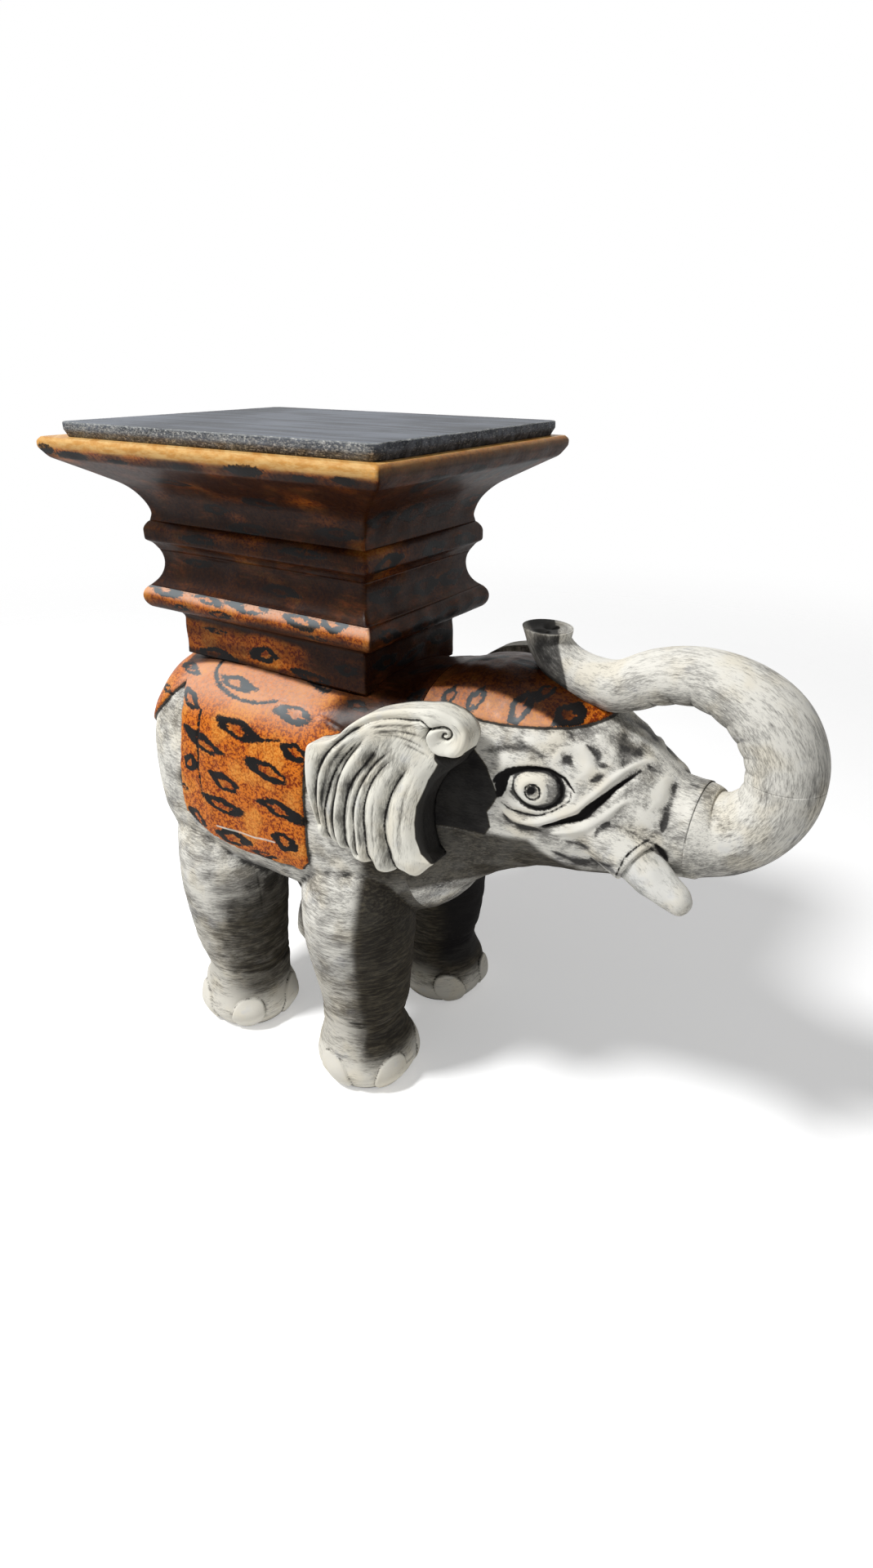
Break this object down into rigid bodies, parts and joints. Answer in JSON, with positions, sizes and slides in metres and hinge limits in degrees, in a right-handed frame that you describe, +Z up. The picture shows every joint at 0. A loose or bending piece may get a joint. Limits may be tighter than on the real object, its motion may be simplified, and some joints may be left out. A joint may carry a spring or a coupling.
{
  "type": "elephant stool",
  "caption": "Carved wooden elephant stool: ribbed ears, tusks, trunk curled back on to the forehead, a flared moulded pedestal on its saddle and a thin rectangular board on top.",
  "frame": {"origin": "centre of the whole object's bounding box in plan, at the floor", "axes": "+X towards the elephant's head, +Y towards its left, +Z up"},
  "size_m": [0.4832, 0.2114, 0.453],
  "materials": {
    "black_board": "satin",
    "leopard_paint": "gloss",
    "blanket_paint": "gloss",
    "grey_wash": "matte",
    "cream_paint": "matte",
    "bare_wood": "matte"
  },
  "bodies": {
    "root": {"top_slab": "black_board", "cornice": "leopard_paint", "upper_band": "leopard_paint", "neck_block": "leopard_paint", "lower_torus": "leopard_paint", "plinth": "leopard_paint", "torso_core": "grey_wash", "right_flank": "blanket_paint", "left_flank": "blanket_paint", "head_block": "grey_wash", "front_right_leg": "grey_wash", "front_left_leg": "grey_wash", "rear_right_leg": "grey_wash", "rear_left_leg": "grey_wash", "trunk_lower": "grey_wash", "trunk_upper": "grey_wash", "right_ear": "grey_wash", "left_ear": "grey_wash", "right_tusk": "cream_paint", "left_tusk": "cream_paint", "tail": "grey_wash", "slab_pegs": "bare_wood", "pedestal_pegs": "bare_wood", "flank_pegs": "bare_wood", "leg_pegs": "bare_wood", "head_pegs": "bare_wood", "trunk_pegs": "bare_wood", "ear_pegs": "bare_wood", "tail_peg": "bare_wood"}
  },
  "joints": []
}
